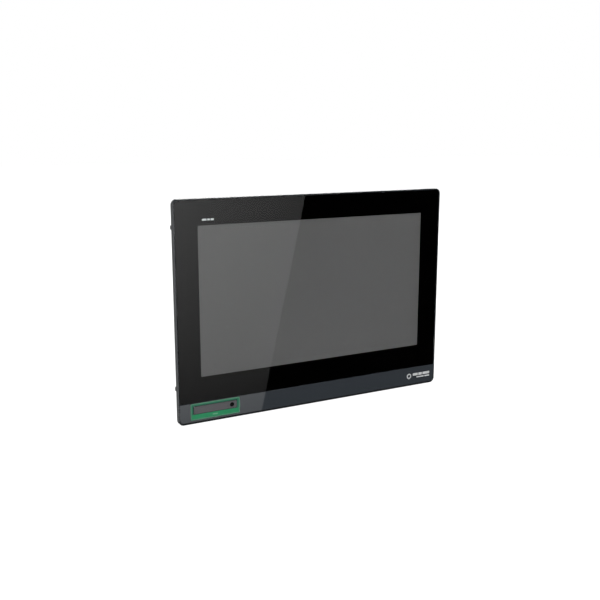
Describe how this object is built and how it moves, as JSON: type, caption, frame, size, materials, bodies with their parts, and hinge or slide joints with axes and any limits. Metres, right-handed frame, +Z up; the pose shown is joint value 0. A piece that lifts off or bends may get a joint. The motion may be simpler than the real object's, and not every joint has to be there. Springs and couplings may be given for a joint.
{
  "type": "hmi touch panel",
  "caption": "Wide touch display panel for a cabinet door, with a slim slate frame, flush black-bordered glass, a port door and a rear controller housing.",
  "frame": {"origin": "centre of the front frame's rear flange face, which seats on the cabinet door", "axes": "+X to the operator's right, +Y into the cabinet, +Z up"},
  "size_m": [0.414, 0.062, 0.295],
  "materials": {
    "slate_frame": "slate grey satin paint on a die-cast frame",
    "slate_fascia": "slate grey smooth moulding",
    "clear_glass": "chemically hardened clear glass, polished",
    "black_print": "opaque black ink behind the glass",
    "adhesive": "black foam adhesive tape",
    "clear_film": "clear conductive film",
    "gasket_rubber": "black foam rubber",
    "green_trim": "green satin moulding",
    "grey_door": "mid grey satin moulding",
    "black_plastic": "black moulding, fine grain",
    "steel_pin": "plain steel",
    "plated_shell": "bright nickel plating on folded sheet",
    "insulator": "black glass-filled insulator",
    "circuit_board": "green solder mask on glass-fibre board",
    "display_steel": "thin stainless sheet",
    "display_face": "neutral grey unlit display behind the glass",
    "white_film": "white diffusing film",
    "clear_acrylic": "clear acrylic light guide",
    "ribbon": "white flat cable with tinned ends",
    "zinc_sheet": "zinc-plated sheet steel",
    "graphite_sheet": "fine-textured graphite powder coat on sheet steel",
    "screw_steel": "zinc-plated machine screws",
    "black_anodised": "black anodised extruded aluminium",
    "spacer_brass": "nickel-washed brass spacers",
    "chip_black": "moulded chip packages",
    "pad_grey": "grey thermal pad",
    "capacitor_can": "bare aluminium cans",
    "battery_steel": "bright steel coin cell",
    "terminal_green": "green terminal block moulding",
    "earth_plated": "yellow-passivated earth terminal",
    "card_blue": "dark blue memory card moulding"
  },
  "bodies": {
    "root": {"backup_battery": "battery_steel", "battery_holder": "black_plastic", "board_components": "chip_black", "board_spacers": "spacer_brass", "border_print": "black_print", "card_socket": "plated_shell", "controller_housing": "graphite_sheet", "cover_glass": "clear_glass", "diffuser_sheet": "white_film", "display_brackets": "zinc_sheet", "display_ribbon": "ribbon", "earth_washer": "earth_plated", "front_bezel": "slate_frame", "front_usb_board": "circuit_board", "front_usb_insulators": "insulator", "front_usb_shells": "plated_shell", "glass_adhesive": "adhesive", "heat_sink": "black_anodised", "jackscrews": "screw_steel", "lcd_cell": "display_face", "lcd_frame": "display_steel", "lcd_tray": "display_steel", "led_strip": "white_film", "light_guide": "clear_acrylic", "lower_fascia": "slate_fascia", "machine_screws": "screw_steel", "main_board": "circuit_board", "memory_module": "circuit_board", "memory_socket": "insulator", "modular_jacks": "plated_shell", "mounting_gasket": "gasket_rubber", "optical_bond": "clear_film", "power_capacitors": "capacitor_can", "power_inlet": "terminal_green", "processor": "chip_black", "rear_chassis": "graphite_sheet", "rear_usb_insulators": "insulator", "rear_usb_shells": "plated_shell", "serial_port_insert": "insulator", "serial_port_shell": "plated_shell", "small_screws": "screw_steel", "thermal_pad": "pad_grey", "timing_board": "circuit_board", "touch_sensor": "clear_film", "usb_door_hinge_pin": "steel_pin", "usb_door_seal": "gasket_rubber", "usb_surround": "green_trim"},
    "usb_door": {"usb_door": "grey_door"},
    "usb_door_latch": {"usb_door_screw": "black_plastic"},
    "retention_catch_left_upper": {"retention_catch_left_upper": "black_plastic"},
    "retention_catch_left_lower": {"retention_catch_left_lower": "black_plastic"},
    "retention_catch_right_upper": {"retention_catch_right_upper": "black_plastic"},
    "retention_catch_right_lower": {"retention_catch_right_lower": "black_plastic"},
    "power_plug": {"power_plug": "terminal_green"},
    "power_plug_screw_1": {"power_plug_screw_1": "screw_steel"},
    "power_plug_screw_2": {"power_plug_screw_2": "screw_steel"},
    "power_plug_screw_3": {"power_plug_screw_3": "screw_steel"},
    "reset_button": {"reset_button": "black_plastic"},
    "memory_card": {"memory_card": "card_blue"},
    "earth_screw": {"earth_screw": "earth_plated"}
  },
  "joints": [
    {"name": "usb_door_hinge", "type": "hinge", "parent": "root", "child": "usb_door", "pos_m": [-0.1847, -0.0056, -0.1291], "axis": [0, 0, -1], "range_deg": [0, 110]},
    {"name": "usb_door_latch_turn", "type": "hinge", "parent": "usb_door", "child": "usb_door_latch", "pos_m": [-0.131, -0.0065, -0.1291], "axis": [0, 1, 0], "range_deg": [-90, 0]},
    {"name": "catch_left_upper_press", "type": "slide", "parent": "root", "child": "retention_catch_left_upper", "axis": [1, 0, 0], "range_m": [0, 0.0042], "stiffness_N_per_m": 400},
    {"name": "catch_left_lower_press", "type": "slide", "parent": "root", "child": "retention_catch_left_lower", "axis": [1, 0, 0], "range_m": [0, 0.0042], "stiffness_N_per_m": 400},
    {"name": "catch_right_upper_press", "type": "slide", "parent": "root", "child": "retention_catch_right_upper", "axis": [-1, 0, 0], "range_m": [0, 0.0042], "stiffness_N_per_m": 400},
    {"name": "catch_right_lower_press", "type": "slide", "parent": "root", "child": "retention_catch_right_lower", "axis": [-1, 0, 0], "range_m": [0, 0.0042], "stiffness_N_per_m": 400},
    {"name": "power_plug_pull", "type": "slide", "parent": "root", "child": "power_plug", "axis": [0, 0, -1], "range_m": [0, 0.02]},
    {"name": "power_plug_screw_1_turn", "type": "hinge", "parent": "power_plug", "child": "power_plug_screw_1", "pos_m": [-0.10008, 0.0478, -0.092], "axis": [0, 1, 0], "continuous": true},
    {"name": "power_plug_screw_2_turn", "type": "hinge", "parent": "power_plug", "child": "power_plug_screw_2", "pos_m": [-0.095, 0.0478, -0.092], "axis": [0, 1, 0], "continuous": true},
    {"name": "power_plug_screw_3_turn", "type": "hinge", "parent": "power_plug", "child": "power_plug_screw_3", "pos_m": [-0.08992, 0.0478, -0.092], "axis": [0, 1, 0], "continuous": true},
    {"name": "reset_button_press", "type": "slide", "parent": "root", "child": "reset_button", "axis": [0, 0, 1], "range_m": [0, 0.0012], "stiffness_N_per_m": 800},
    {"name": "memory_card_pull", "type": "slide", "parent": "root", "child": "memory_card", "axis": [1, 0, 0], "range_m": [0, 0.031]},
    {"name": "earth_screw_turn", "type": "hinge", "parent": "root", "child": "earth_screw", "pos_m": [0.165, 0.029, -0.118], "axis": [0, 1, 0], "continuous": true}
  ]
}
